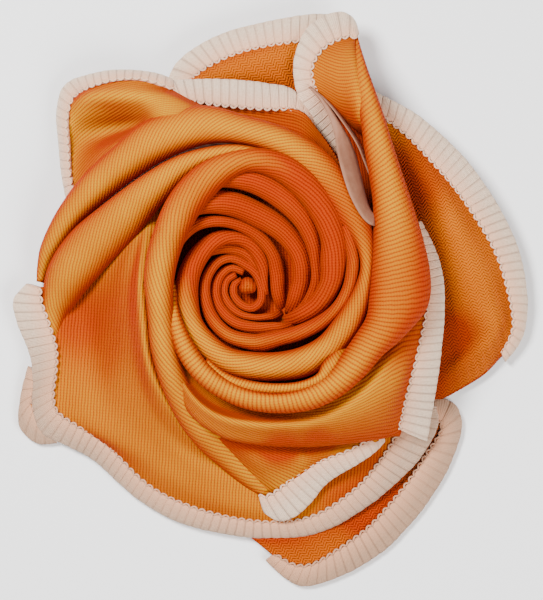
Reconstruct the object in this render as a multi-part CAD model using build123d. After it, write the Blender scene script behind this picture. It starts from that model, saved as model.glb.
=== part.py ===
from build123d import *
import math
import os

# Quick dry towel: a square knitted cloth with an overlocked edge and a sewn-in care label.
# It is pinched at its middle and twisted, so that it lies as a rosette of folds and petals.
# Millimetres, +Z up. The origin is on the surface it lies on, under the middle of its outline.
# +Y points along the rosette's longest extent, to the corner petal that holds the care label.

CLOTH = 1.0  # thickness of the knitted cloth
EDGING = 2.4  # thickness of the overlocked edge, thread over cloth
LABEL = 0.5  # thickness of the folded satin label
ROLL = 10.0  # height of a rolled outer fold over the layer under it
LAYER = 3.0  # step from one draped layer to the next
SEWN_GAP = 0.15  # clearance between the cloth and its edging
FOLD_GAP = 0.4  # clearance between two folds

HEART_TOP = 30.0
INNER_WRAP_TOP = 33.0
OUTER_WRAP_TOP = 36.0
ROUNDING = 2.5  # radius along the top of the middle wraps

DRAPE_MIDDLE = (-4, 0)  # the drape falls away from here
DRAPE_RISE = 20.0  # how far the drape stands up round the middle wraps
DRAPE_INNER = 36.0  # radius where the drape starts to fall
DRAPE_OUTER = 76.0  # radius where it lies flat
SURFACE_POINTS = 14  # points each way in a draped surface
SURFACE_MARGIN = 4.0  # how far a draped surface runs past its outline
TALL = 80.0  # height of the prism that cuts an outline out of the drape, taller than everything
BELOW = 20.0  # how far under the surface that prism starts
LABEL_LAYER = 1.5  # the layer the care label lies in, between two of the cloth's
UP = (0, 0, 1)

# Borders of the edging, each listed from one end to the other as (x, y).
LEFT_SIDE_INNER = [(-58.5, 30), (-60, 42), (-61.3, 55), (-60, 60)]
LEFT_SIDE_OUTER = [(-60, 28), (-62.6, 42), (-64, 56), (-63.2, 62)]
CORNER_INNER = [(-59.5, 61), (-55, 64.2), (-47, 66), (-39, 66)]
CORNER_OUTER = [(-62.5, 63.5), (-58, 67.5), (-50, 68.5), (-37, 66.8)]
BEHIND_INNER = [(-24, 60), (-14, 58.8), (0, 57.6), (10, 56)]
BEHIND_OUTER = [(-29, 65), (-18, 66.2), (0, 64.6), (9.5, 60.5)]
TOP_INNER = [(-24.5, 66.5), (-18, 71.5), (-10, 75), (0, 77.4), (12, 79)]
TOP_OUTER = [(-30.5, 66), (-27, 73), (-18, 79), (0, 83.6), (14, 86)]
TURNBACK_INNER = [(25.5, 80), (19, 78.5), (13.2, 73.5), (11.5, 68), (13, 64), (18, 56)]
TURNBACK_OUTER = [(21.5, 86.5), (14, 83.5), (9, 77), (7.5, 70.5), (9, 64), (13, 54)]
RIGHT_INNER = [(34, 56), (44, 48), (54, 37), (62, 26.5), (69, 14.5), (73, 2), (74.6, -7)]
RIGHT_OUTER = [(34, 60.2), (47, 54.2), (60, 42), (69, 27), (75, 13), (78, -1), (76.6, -9)]
WRAP_INNER = [(49, 7), (46.3, -5), (43.5, -17), (40.8, -29), (39.6, -41)]
WRAP_OUTER = [(52.5, 7), (52, -5), (50.8, -17), (49.5, -29), (48.3, -41)]
PLEAT_INNER = [(-0.5, -61), (5, -56.5), (11, -51), (17, -48.4), (31, -43.5)]
PLEAT_OUTER = [(4.5, -66.5), (12, -62), (18, -54.3), (25, -49.6), (33, -45)]
LOWER_SIDE_INNER = [(-69.6, 3), (-67.5, -6), (-64.8, -15), (-66.6, -31)]
LOWER_SIDE_OUTER = [(-74, 4.6), (-78, -1), (-75.5, -8), (-71.5, -22), (-71, -34)]
LOWER_INNER = [(-65, -35), (-50, -44), (-36, -57.5), (-20, -65), (3, -68), (21, -63), (34, -49)]
LOWER_OUTER = [(-68.5, -41.5), (-52, -48.5), (-38, -61), (-21, -69.6), (3, -72.4), (26, -66), (45, -50)]
BACK_INNER = [(52, -37), (47.5, -48), (39, -60.5), (28, -71.5), (12, -81.5)]
BACK_OUTER = [(58, -38), (54.5, -50), (44.5, -66), (31, -78.5), (11.5, -86.5)]
UNDER_INNER = [(-73.5, -33), (-69, -37)]
UNDER_OUTER = [(-74.7, -38), (-69.5, -43.6)]

# Outlines of the middle wraps, each one closed curve round the last.
HEART = [(-17.5, 1), (-14, -6.5), (-6, -10), (3, -9), (5.5, -3), (0.5, 4), (-3, 9), (-10, 11.5), (-16, 8)]
INNER_WRAP = [
    (-27.8, 0), (-25, -11), (-14, -21.5), (2, -24), (12, -15),
    (13, 2), (7, 14), (-3, 19.5), (-15, 21.5), (-24, 16),
]
OUTER_WRAP = [
    (-35.5, 0), (-33, -16), (-22, -27), (-8, -33), (8, -33.5), (22, -26), (28, -8),
    (27, 10), (22, 24), (12, 36), (-3, 43), (-17, 41), (-29, 31), (-34, 16),
]

# Outlines of the outer folds, each a closed curve.
UPPER_FOLD = [
    (-66, 14.5), (-55, 25), (-42, 35), (-28, 42.8), (-12, 47.8), (3, 45.2), (14.5, 38), (23.5, 26), (27, 19),
    (30, 19), (28.5, 26), (22, 36), (10, 45.8), (0, 50.5), (-15, 54), (-30, 52), (-45, 42), (-57, 30), (-65.5, 21),
]
LEFT_FOLD = [
    (-63, -13), (-58, -2), (-50, 8.5), (-42, 19), (-36, 28), (-30, 34), (-20, 42),
    (-19, 44), (-28, 40.8), (-42, 33), (-55, 23), (-65, 12.5), (-69.3, 3), (-66, -8),
]
RIGHT_FOLD = [
    (25, 79), (29, 68), (33, 56), (38, 43), (43, 29), (47, 15), (47.3, 8), (45.5, -5), (38, -10.5), (32, -15.5),
    (31.5, 4), (32, 22), (30, 38), (27, 52), (21, 60), (15.5, 66), (15, 73), (20, 77.3),
]
LOWER_WRAP = [
    (44, -8), (39.5, -11.5), (34, -16), (28, -22.5), (20, -30), (8, -35), (-6, -34.6), (-16, -32), (-24, -26.5),
    (-21, -31), (-14, -37.5), (-5, -41.3), (10, -43), (25, -42.5), (37.8, -40), (39.6, -29), (42.2, -17),
]
LOWER_PLEAT = [
    (-35, -14), (-33, -26), (-24, -39), (-12, -51), (-1.5, -59.3), (3.5, -56.5), (9.5, -50.5),
    (8, -46), (-8, -44.5), (-19, -39), (-27, -28.5), (-33, -17),
]

# Inner borders of the petals, tucked under the folds, from the end of one edging to the start of the next.
UPPER_LEFT_TUCK = [(-30, 57), (-25, 50), (-38, 42), (-50, 33), (-57, 28)]
BEHIND_TUCK = [(16, 48), (22, 38), (24, 32), (14, 40), (0, 46), (-14, 50), (-22, 55)]
TOP_TUCK = [(19, 74), (21, 62), (14, 54), (-4, 56), (-18, 62)]
RIGHT_TUCK = [(73.6, -13), (66, -22), (60, -26), (51, -30.5), (42, -24), (34, -10), (33, 10), (32, 34), (31, 48)]
LOWER_LEFT_TUCK = [(31, -42), (20, -36), (-14, -37), (-32, -26), (-38, -10), (-38, 8), (-48, 14), (-62, 8)]
BACK_TUCK = [(5, -80), (-5, -72.5), (-2, -58), (20, -44), (44, -34)]
LABEL_OUTLINE = [
    (13, 61.5), (17, 55.5), (20, 48), (21.5, 40), (24, 31), (28, 24), (30.5, 22),
    (30.5, 27), (28.5, 35), (26, 44), (20.5, 54),
]


def rise(x, y, lift):
    """Height of a draped layer: high round the middle wraps, flat at the petals' edges."""
    from_middle = math.hypot(x - DRAPE_MIDDLE[0], y - DRAPE_MIDDLE[1])
    share = (from_middle - DRAPE_INNER) / (DRAPE_OUTER - DRAPE_INNER)
    share = min(max(share, 0), 1)
    fallen = share * share * (3 - 2 * share)
    return lift + DRAPE_RISE * (1 - fallen)


def drape(face, lift, thickness):
    """A flat outline laid on the drape: the layer at this lift and thickness, cut to the outline."""
    box = face.bounding_box()
    low_x = box.min.X - SURFACE_MARGIN
    low_y = box.min.Y - SURFACE_MARGIN
    step_x = (box.size.X + 2 * SURFACE_MARGIN) / (SURFACE_POINTS - 1)
    step_y = (box.size.Y + 2 * SURFACE_MARGIN) / (SURFACE_POINTS - 1)
    grid = []
    for i in range(SURFACE_POINTS):
        x = low_x + i * step_x
        ys = [low_y + j * step_y for j in range(SURFACE_POINTS)]
        grid.append([Vector(x, y, rise(x, y, lift)) for y in ys])
    layer = extrude(Face.make_surface_from_array_of_points(grid), thickness, dir=UP)
    return layer & extrude(Pos(0, 0, -BELOW) * face, TALL, dir=UP)


def outward(points, gap):
    """The same points moved away from the middle of the drape by a gap."""
    moved = []
    for x, y in points:
        away = math.hypot(x - DRAPE_MIDDLE[0], y - DRAPE_MIDDLE[1])
        share = gap / away
        moved.append((x + share * (x - DRAPE_MIDDLE[0]), y + share * (y - DRAPE_MIDDLE[1])))
    return moved


def curve(points):
    """A smooth open curve through the points."""
    return Edge.make_spline([Vector(*point) for point in points])


def closed(points):
    """A face inside one smooth closed curve."""
    return Face(Wire([Edge.make_spline([Vector(*point) for point in points], periodic=True)]))


def band(inner, outer):
    """A face between two borders, with straight ends."""
    back = outer[::-1]
    ends = [Edge.make_line(inner[-1], outer[-1]), Edge.make_line(outer[0], inner[0])]
    return Face(Wire([curve(inner), ends[0], curve(back), ends[1]]))


def edging(inner, outer, layer):
    """A run of overlocked edge."""
    return drape(band(outward(inner, SEWN_GAP), outer), layer * LAYER, EDGING)


def petal(border, tuck, layer, side=None):
    """A petal of cloth: its sewn border, and a border tucked under the folds. side is a second sewn border."""
    if side is None:
        edges = [curve(border), curve([border[-1], *tuck, border[0]])]
    else:
        tucked = curve([border[-1], *tuck, side[0]])
        corner = Edge.make_line(side[-1], border[0])
        edges = [curve(border), tucked, curve(side), corner]
    return drape(Face(Wire(edges)), layer * LAYER, CLOTH)


def wrap(outer, inner, top):
    """A wrap that stands on the surface, round the one inside it."""
    holes = [] if inner is None else [closed(outward(inner, FOLD_GAP)).outer_wire()]
    solid = extrude(Face(closed(outer).outer_wire(), holes), top, dir=UP)
    return fillet(solid.faces().sort_by(Axis.Z)[-1].edges(), ROUNDING)


def fold(outline, height):
    """A rolled fold, lying on the drape beside the middle wraps."""
    return drape(closed(outline), 2 * LAYER, height)


def care_label():
    """The folded satin label, lying in the gap between the upper fold and the right fold."""
    return drape(closed(LABEL_OUTLINE), LABEL_LAYER * LAYER, LABEL)


NODES = {
    "cloth_heart": wrap(HEART, None, HEART_TOP),
    "cloth_inner_wrap": wrap(INNER_WRAP, HEART, INNER_WRAP_TOP),
    "cloth_outer_wrap": wrap(OUTER_WRAP, INNER_WRAP, OUTER_WRAP_TOP),
    "cloth_upper_fold": fold(UPPER_FOLD, ROLL),
    "cloth_left_fold": fold(LEFT_FOLD, ROLL),
    "cloth_right_fold": fold(RIGHT_FOLD, ROLL),
    "cloth_lower_wrap": fold(LOWER_WRAP, ROLL),
    "cloth_lower_pleat": fold(LOWER_PLEAT, ROLL),
    "cloth_upper_left_petal": petal(CORNER_INNER, UPPER_LEFT_TUCK, 1, LEFT_SIDE_INNER),
    "cloth_tucked_petal": petal(BEHIND_INNER, BEHIND_TUCK, 1),
    "cloth_top_petal": petal(TOP_INNER, TOP_TUCK, 0),
    "cloth_right_petal": petal(RIGHT_INNER, RIGHT_TUCK, 1),
    "cloth_lower_left_petal": petal(LOWER_INNER, LOWER_LEFT_TUCK, 1, LOWER_SIDE_INNER),
    "cloth_back_petal": petal(BACK_INNER, BACK_TUCK, 0),
    "edging_left_side": edging(LEFT_SIDE_INNER, LEFT_SIDE_OUTER, 1),
    "edging_upper_left": edging(CORNER_INNER, CORNER_OUTER, 1),
    "edging_tucked": edging(BEHIND_INNER, BEHIND_OUTER, 1),
    "edging_top": edging(TOP_INNER, TOP_OUTER, 0),
    "edging_top_turnback": edging(TURNBACK_INNER, TURNBACK_OUTER, 2),
    "edging_right": edging(RIGHT_INNER, RIGHT_OUTER, 1),
    "edging_lower_wrap": edging(WRAP_INNER, WRAP_OUTER, 2),
    "edging_lower_pleat": edging(PLEAT_INNER, PLEAT_OUTER, 2),
    "edging_lower_side": edging(LOWER_SIDE_INNER, LOWER_SIDE_OUTER, 1),
    "edging_lower_left": edging(LOWER_INNER, LOWER_OUTER, 1),
    "edging_back": edging(BACK_INNER, BACK_OUTER, 0),
    "edging_under_corner": edging(UNDER_INNER, UNDER_OUTER, 0),
    "care_label": care_label(),
}

os.makedirs("parts", exist_ok=True)
for name, solid in NODES.items():
    export_step(solid, f"parts/{name}.step")
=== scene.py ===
import math

import bpy
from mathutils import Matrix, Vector, noise


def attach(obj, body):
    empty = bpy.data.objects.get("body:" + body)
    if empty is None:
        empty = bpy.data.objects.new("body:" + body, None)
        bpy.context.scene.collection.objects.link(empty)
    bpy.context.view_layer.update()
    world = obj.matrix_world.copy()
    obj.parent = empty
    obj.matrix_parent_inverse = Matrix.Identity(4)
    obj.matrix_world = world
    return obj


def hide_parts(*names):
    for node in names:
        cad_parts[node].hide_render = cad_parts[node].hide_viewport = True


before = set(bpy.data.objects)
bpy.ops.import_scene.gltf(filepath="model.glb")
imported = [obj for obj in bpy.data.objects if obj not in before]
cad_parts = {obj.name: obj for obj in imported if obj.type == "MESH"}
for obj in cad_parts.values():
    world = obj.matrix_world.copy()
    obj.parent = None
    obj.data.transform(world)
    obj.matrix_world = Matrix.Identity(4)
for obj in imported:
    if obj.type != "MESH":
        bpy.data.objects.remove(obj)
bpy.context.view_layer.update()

# Everything below is worked out in millimetres, in the CAD frame, and turned into metres here.
MM = 0.001

CLOTH_THICKNESS = 0.9
LABEL_THICKNESS = 0.3
RIB = 0.95  # pitch of the knit's ribs
COURSE = 0.85  # pitch of the knit's courses
STITCH = 2.5  # pitch of the overlock stitches

# The twist: the folds wind clockwise into its middle and sink as they go.
TWIST = (-5.0, 3.0)
TWIST_RADIUS = 31.0  # the folds start to sink here
TWIST_DEPTH = 11.0
KNOB_RADIUS = 5.0
KNOB_AT = (-6.4, 4.2, 19.8)
KNOB_SIZE = 2.7

# A fold's section: a rounded top, and a wall down each side.
TOP_FALL = 7.0  # how far the top of a wide fold falls before its walls stand upright
TOP_SPREAD = 6.4  # a fold this wide has three quarters of that fall
WALL_LEAN = 0.12  # how far the walls draw in towards their foot, as a share of the fold's width
FOOT_HEIGHT = 3.0  # the walls end at least this far above the floor

# Face sizes of the meshes.
FINER = 12  # straight steps in each span of a curve while it is measured
FOLD_STEP = 1.2
PETAL_STEP = 1.5
EDGING_STEP = 0.42
ARCH_STEPS = 7
WALL_STEPS = 4

# Shade: 0 in the open, 1 deep in the folds. The cloth's colour is redder and deeper there. A shaded place is
# the x and y of its middle, the radius of its darkest part, its whole radius, and how dark it is.
SHADED_DROP = 32.0  # this far below its ridge, every fold is in deep shade
SIDE_SHADE = 0.5  # of a fold's side that faces across the light
SIDE_TURN = 0.25  # how much lighter or darker the sides are that face the light or away
LIT_SIDE = (-0.75, 0.66)  # the light comes from here
SHADED_FOLDS = [(0, 14, 23, 33, 0.85), (38, 0, 6, 30, 0.38)]  # the inner wraps, and the broad ridge
SHADED_PETALS = [  # the hollows of the petals
    (-57, -5, 2, 24, 0.5), (-53, 44, 3, 11, 0.4), (44, 38, 5, 19, 0.65), (57, -11, 1, 11, 0.5),
    (33, -63, 5, 16, 0.5), (38, -9, 4, 17, 0.85), (26, -53, 7, 21, 0.45), (4, -45, 3, 9, 0.6),
    (15, -44, 3, 9, 0.6),
]


# ---- curves and unevenness ----------------------------------------------------------------------

def catmull(points, share):
    """A point on the smooth curve through the points, share running from 0 to 1 over equal spans."""
    spans = len(points) - 1
    place = min(max(share, 0.0), 1.0) * spans
    i = min(int(place), spans - 1)
    t = place - i
    size = len(points[0])
    p1 = points[i]
    p2 = points[i + 1]
    p0 = points[i - 1] if i > 0 else [2 * p1[k] - p2[k] for k in range(size)]
    p3 = points[i + 2] if i + 2 <= spans else [2 * p2[k] - p1[k] for k in range(size)]
    found = []
    for k in range(size):
        a = 2 * p1[k]
        b = p2[k] - p0[k]
        c = 2 * p0[k] - 5 * p1[k] + 4 * p2[k] - p3[k]
        d = 3 * p1[k] - p0[k] - 3 * p2[k] + p3[k]
        found.append(0.5 * (a + b * t + c * t * t + d * t * t * t))
    return found


def lengths(curve, axes=3):
    """Length along a polyline up to each of its points."""
    total = [0.0]
    for a, b in zip(curve, curve[1:]):
        total.append(total[-1] + math.dist(a[:axes], b[:axes]))
    return total


def resampled(points, count, axes=3):
    """count + 1 points evenly spaced along the smooth curve through the points."""
    steps = FINER * (len(points) - 1)
    fine = [catmull(points, i / steps) for i in range(steps + 1)]
    total = lengths(fine, axes)
    found = []
    j = 0
    for i in range(count + 1):
        goal = total[-1] * i / count
        while j < len(total) - 2 and total[j + 1] < goal:
            j += 1
        span = total[j + 1] - total[j]
        t = (goal - total[j]) / span if span > 1e-9 else 0.0
        found.append([a + (b - a) * t for a, b in zip(fine[j], fine[j + 1])])
    return found


def wobble(x, y, z, size, amount):
    """A small smooth unevenness, the same each run."""
    return amount * noise.noise(Vector((x / size, y / size, z / size)))


def eased(share):
    """0 below 0 and 1 above 1, with a soft start and end between them."""
    share = min(max(share, 0.0), 1.0)
    return share * share * (3 - 2 * share)


def sink(x, y):
    """How far the middle of the twist lies below its outer wraps."""
    away = math.hypot(x - TWIST[0], y - TWIST[1])
    return TWIST_DEPTH * eased((TWIST_RADIUS - away) / (TWIST_RADIUS - KNOB_RADIUS))


def dusk(x, y, places):
    """How deep in shade a point is, inside the shaded places."""
    deepest = 0.0
    for middle_x, middle_y, core, edge, depth in places:
        away = math.hypot(x - middle_x, y - middle_y)
        deepest = max(deepest, depth * eased((edge - away) / (edge - core)))
    return deepest


# ---- cloth as a mesh ----------------------------------------------------------------------------

class Cloth:
    """Collects grids of points into one mesh, with a place in the knit and a shade for each point."""

    def __init__(self):
        self.points = []
        self.faces = []
        self.knit = []
        self.shade = []
        self.looks = []

    def grid(self, rows, knit, shade, look=0, around=False):
        """Joins rows of points into faces whose upper side looks up. around joins each row's ends too.

        knit is the distance across and along the ribs, and look is 0 for the ribbed face and 1 for the
        reverse."""
        start = len(self.points)
        wide = len(rows[0])
        for row, row_knit, row_shade in zip(rows, knit, shade):
            self.points += [tuple(point) for point in row]
            self.knit += row_knit
            self.shade += row_shade
        faces = []
        lean = 0.0
        for i in range(len(rows) - 1):
            for j in range(wide - (0 if around else 1)):
                right = (j + 1) % wide
                a = start + i * wide
                face = (a + j, a + right, a + wide + right, a + wide + j)
                faces.append(face)
                one = [self.points[face[2]][k] - self.points[face[0]][k] for k in range(2)]
                two = [self.points[face[3]][k] - self.points[face[1]][k] for k in range(2)]
                lean += one[0] * two[1] - one[1] * two[0]
        if not around and lean < 0:
            faces = [face[::-1] for face in faces]
        self.faces += faces
        self.looks += [look] * len(faces)

    def cap(self, rows):
        """Closes the two ends of the ring of rows that was added last."""
        wide = len(rows[0])
        end = len(self.points)
        start = end - wide * len(rows)
        self.faces.append(tuple(range(start + wide - 1, start - 1, -1)))
        self.faces.append(tuple(range(end - wide, end)))
        self.looks += [0, 0]

    def piece(self, name, *materials):
        mesh = bpy.data.meshes.new(name)
        mesh.from_pydata([(x * MM, y * MM, z * MM) for x, y, z in self.points], [], self.faces)
        layer = mesh.uv_layers.new(name="Knit")
        # the second layer carries each point's painted shade
        depth = mesh.uv_layers.new(name="Depth")
        for loop in mesh.loops:
            layer.data[loop.index].uv = self.knit[loop.vertex_index]
            depth.data[loop.index].uv = (self.shade[loop.vertex_index], 0.5)
        mesh.polygons.foreach_set("use_smooth", [True] * len(mesh.polygons))
        mesh.polygons.foreach_set("material_index", self.looks)
        mesh.update()
        for material in materials:
            mesh.materials.append(material)
        piece = bpy.data.objects.new(name, mesh)
        bpy.context.collection.objects.link(piece)
        return piece


def even_shade(rows, value):
    """The same shade for every point of the rows."""
    return [[value] * len(row) for row in rows]


def half_section(side, width, top, deep):
    """A fold from its ridge down one wall: at each point the offset to the side, and the drop."""
    fall = TOP_FALL * math.tanh(width / TOP_SPREAD)
    foot = min(max(top - FOOT_HEIGHT, fall + 1.0), deep)
    points = []
    for k in range(ARCH_STEPS + 1):
        angle = math.pi / 2 * k / ARCH_STEPS
        points.append((side * width * math.sin(angle), fall * (1 - math.cos(angle))))
    for k in range(1, WALL_STEPS + 1):
        share = k / WALL_STEPS
        points.append((side * width * (1 - WALL_LEAN * share), fall + (foot - fall) * share))
    return points


def fold(cloth, stations, grain, deep=18.0, pitch=RIB, shade=0.15):
    """A fold of the cloth: a rounded ridge with a wall down each side.

    A station is (x, y, height of the ridge, width to its outer side, width to its inner side). The folds run
    clockwise, so the outer side is on the left. grain is the turn of the knit, in degrees, at the two ends:
    0 puts the ribs across the fold, and 90 puts them along it. deep is the height of its walls, and shade is
    the ridge's."""
    count = max(4, round(lengths(resampled(stations, 60, 2), 2)[-1] / FOLD_STEP))
    line = resampled(stations, count, 2)
    rows = []
    knit = []
    shades = []
    over_ribs = 0.0
    over_courses = 0.0
    for i, (x, y, top, outer, inner) in enumerate(line):
        before = line[max(i - 1, 0)]
        after = line[min(i + 1, count)]
        ahead = math.hypot(after[0] - before[0], after[1] - before[1])
        left = (-(after[1] - before[1]) / ahead, (after[0] - before[0]) / ahead)
        turn = math.radians(grain[0] + (grain[1] - grain[0]) * i / count)
        step = math.dist(line[i][:2], line[i - 1][:2]) if i else 0.0
        over_ribs += step * math.cos(turn)
        over_courses += step * math.sin(turn)
        top += wobble(x, y, 3.0, 9.0, 0.7) - sink(x, y)
        outer_half = half_section(1, outer, top, deep)
        section = outer_half[::-1] + half_section(-1, inner, top, deep)[1:]
        across = lengths(section, 2)
        ridge = across[len(outer_half) - 1]
        base = shade + dusk(x, y, SHADED_FOLDS)
        lit = left[0] * LIT_SIDE[0] + left[1] * LIT_SIDE[1]
        row = []
        row_knit = []
        row_shade = []
        for (offset, drop), span in zip(section, across):
            width = outer if offset > 0 else inner
            side = SIDE_SHADE + SIDE_TURN * (-lit if offset > 0 else lit)
            v = span - ridge
            row.append((x + left[0] * offset, y + left[1] * offset, top - drop))
            row_knit.append((
                (over_ribs + v * math.sin(turn)) * RIB / pitch, -over_courses + v * math.cos(turn),
            ))
            row_shade.append(min(1.0, base + side * (offset / width) ** 2 + drop / SHADED_DROP))
        rows.append(row)
        knit.append(row_knit)
        shades.append(row_shade)
    cloth.grid(rows, knit, shades)


def sheet_grid(controls):
    """Rows of points on the smooth surface through rows of control points."""
    longest = max(lengths(row)[-1] for row in controls)
    count = max(3, round(longest / PETAL_STEP))
    rails = [resampled(row, count) for row in controls]
    widest = max(lengths([rail[j] for rail in rails])[-1] for j in (0, count // 2, count))
    across = max(3, round(widest / PETAL_STEP))
    columns = [resampled([rail[j] for rail in rails], across) for j in range(count + 1)]
    return [[columns[j][i] for j in range(count + 1)] for i in range(across + 1)]


def petal(cloth, controls, grain=0.0, look=0, uneven=0.5, straight=False, shade=(0.35, 0.35)):
    """A petal: rows of control points from its sewn border to the border tucked under the folds.

    The ribs turn with the border, unless they are straight. shade is that of the two borders, and it stays
    near the first one's for most of the way."""
    rows = sheet_grid(controls)
    steps = len(rows) - 1
    turn = math.radians(grain)
    u = lengths(rows[len(rows) // 2])
    v = lengths([row[len(row) // 2] for row in rows])
    placed = []
    knit = []
    shades = []
    for i, row in enumerate(rows):
        placed.append([(x, y, z + wobble(x, y, 7.0, 11.0, uneven)) for x, y, z in row])
        flat = [(x, y) for x, y, z in row] if straight else [(a, v[i]) for a in u]
        knit.append([
            (a * math.cos(turn) + b * math.sin(turn), -a * math.sin(turn) + b * math.cos(turn))
            for a, b in flat
        ])
        value = min(1.0, shade[0] + (shade[1] - shade[0]) * (i / steps) ** 2)
        shades.append([min(1.0, value + dusk(x, y, SHADED_PETALS)) for x, y, z in row])
    cloth.grid(placed, knit, shades, look)


def knob(cloth):
    """The pinched middle of the cloth, a small rounded knob that the innermost folds wind out of."""
    rings = 8
    sides = 32
    rows = []
    knit = []
    for i in range(rings + 1):
        angle = math.pi / 2 * (0.04 + 0.96 * i / rings)
        row = []
        row_knit = []
        for j in range(sides + 1):
            turn = 2 * math.pi * j / sides
            crease = 1 - 0.16 * abs(math.sin(1.5 * turn + 0.6)) ** 4
            wide = KNOB_SIZE * math.sin(angle) * crease
            drop = 1.3 * KNOB_SIZE * (1 - math.cos(angle))
            x = wide * math.cos(turn)
            y = wide * math.sin(turn)
            row.append((KNOB_AT[0] + x, KNOB_AT[1] + y, KNOB_AT[2] - drop))
            row_knit.append((x, y))
        rows.append(row)
        knit.append(row_knit)
    cloth.grid(rows, knit, even_shade(rows, 0.85))


# ---- the folds, from the outside in: the stations along each ridge ------------------------------

UPPER_FOLD = [
    (-69.4, 5.4, 8, 1, 1.4), (-68.4, 10, 9.6, 1.8, 2), (-66, 16, 12, 3, 2.8), (-60, 25, 16, 4.3, 3.6),
    (-52, 33.5, 20, 5.5, 4.8), (-43, 41, 24, 6, 5.6), (-33, 47.5, 28.5, 7, 6.1),
    (-20, 51.3, 32, 6.5, 5.4), (-8, 50.2, 33.6, 4.6, 4.1), (3, 47, 34.2, 4.4, 4.2),
    (12, 41.5, 34.4, 5, 5), (19.5, 33.5, 34.6, 5, 5), (24.5, 25, 34.6, 4.6, 4.4),
    (27.6, 17, 34.2, 3.6, 2.2), (28.8, 10, 33.6, 1.8, 1.9), (28, 4, 33.2, 2, 2.6),
    (25.6, -2, 33, 3.6, 3.3), (22, -8, 32.6, 4.4, 3.6), (17, -13.5, 32.4, 4.6, 3.4),
    (10.5, -17.3, 32.2, 5.3, 3.6), (3, -19.2, 32, 4.8, 3.8), (-5, -19.4, 31.9, 4.3, 4),
    (-12.5, -17.4, 31.8, 4.2, 3.4), (-18.5, -13, 31.8, 4, 3.3), (-22.8, -7, 31.8, 3.9, 3.2),
    (-24.6, 0, 31.8, 3.4, 3.6), (-24, 7, 31.7, 3.3, 3.4), (-20.8, 13.2, 31.6, 3.2, 3),
    (-15.2, 17.6, 31.4, 3, 2), (-9.5, 18.3, 31.2, 2.2, 1.9), (-5, 15.8, 31, 2.2, 2),
    (-2.4, 11, 30.6, 2, 1.8), (-1.6, 5.5, 29.6, 1.2, 1.2), (-1.2, 1.5, 28, 1, 1),
]
LEFT_FOLD = [
    (-64.6, -15, 6, 0.8, 1), (-65.8, -8, 8.2, 1.6, 3.2), (-65.2, -1, 11, 3.6, 5.8),
    (-61, 7, 15.2, 6.6, 7.2), (-54, 15, 20.5, 7.8, 7.4), (-45, 24, 26, 6.4, 7.4),
    (-36, 32.3, 30.5, 4.8, 5.8), (-27.5, 38.8, 33, 3.4, 4.2), (-19, 42.6, 34.4, 2.3, 2.8),
    (-9, 44.2, 34.8, 1.6, 2.4), (1, 42, 34.6, 1.3, 2.2), (8, 37.5, 34, 1.2, 1.8),
]
MAIN_FOLD = [
    (0.5, -58.8, 7.6, 2.4, 3), (-5.2, -53.6, 11, 3.6, 4.6), (-11.5, -47.2, 15, 4.6, 5.6),
    (-17.8, -40.8, 19.6, 5, 5.4), (-23.4, -33.8, 24, 4.6, 4.6), (-28.2, -24.5, 28, 4, 4),
    (-31.2, -14, 31.5, 3.9, 3.8), (-32.5, -3, 33.6, 3.6, 4.2), (-32.4, 8, 34.8, 4.6, 4.6),
    (-29.8, 19, 35.6, 4.6, 5.2), (-24.6, 29.3, 36.4, 5, 5.6), (-16.5, 37.4, 36.8, 4.6, 5),
    (-7, 41.2, 36.8, 3.6, 3.6), (2.5, 39.8, 36.4, 4, 4.2), (10.2, 34.3, 35.8, 4.4, 4.4),
    (15.8, 26.8, 35, 4.2, 4.2), (18.8, 18.5, 34.2, 4, 3.8), (19.3, 11, 33.4, 3.6, 4.2),
    (18, 4.5, 32.6, 3.2, 3.2), (14.2, -1.3, 31.8, 3, 3), (9, -4.6, 30.6, 2.4, 2.4),
    (5.6, -5.8, 27, 1.6, 1.6), (3.6, -6, 22, 1, 1),
]
INNER_FOLD = [
    (22.6, 22, 33, 1.6, 1.6), (24.4, 15.5, 33, 1.5, 1.9), (25, 10, 32.6, 1.5, 2.2),
    (23.4, 3.2, 32.2, 1.5, 1.9), (20, -2.6, 32, 1.7, 1.9), (15, -7, 31.8, 2, 2.3),
    (8.5, -10, 31.6, 2.2, 2.4), (3, -11.4, 31.4, 2.3, 2.4), (-1.6, -12.2, 31.4, 3.2, 2.4),
    (-5.5, -12.4, 31.2, 2.5, 2.4), (-12, -10.4, 31, 2.2, 2), (-16.8, -5.6, 30.8, 2.1, 1.9),
    (-19, 0.6, 30.6, 1.7, 1.7), (-18.7, 6.4, 30.4, 1.6, 1.6), (-15.6, 11, 30.2, 1.5, 1.4),
    (-11.4, 12.4, 30, 1.3, 1.2), (-7.2, 10.6, 29.8, 1.4, 1.3), (-3.8, 7.6, 29.4, 1.4, 1.3),
    (-2.3, 3.4, 29, 1.2, 1.4), (-2.6, -0.4, 28.6, 1.2, 1.3), (-5.2, -2.4, 28.2, 1.3, 1.3),
    (-8.4, -1.3, 28, 1.3, 1.3), (-10.6, 1.6, 28, 1.2, 1.2), (-10.4, 4.6, 28, 1.2, 1.2),
    (-8.2, 6, 27.6, 1, 1),
]
FOURTH_FOLD = [
    (-27, 27, 29, 1.5, 1.5), (-21, 33, 32.4, 2.2, 2.4), (-14, 36.2, 33.4, 2.6, 3),
    (-5, 35.3, 33.4, 3.4, 3.6), (3.2, 30.8, 33, 3.5, 3.6), (9.6, 24.2, 32.4, 3.2, 3),
    (13, 17, 31.8, 2.2, 2.4), (13.9, 10, 31.2, 1.6, 1.6), (13.8, 4.5, 30.8, 2, 1.7),
    (11.4, -0.6, 30, 1.6, 1.5), (8.4, -3.8, 27, 1.3, 1.3), (6.6, -4.8, 22, 1, 1),
]
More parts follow.
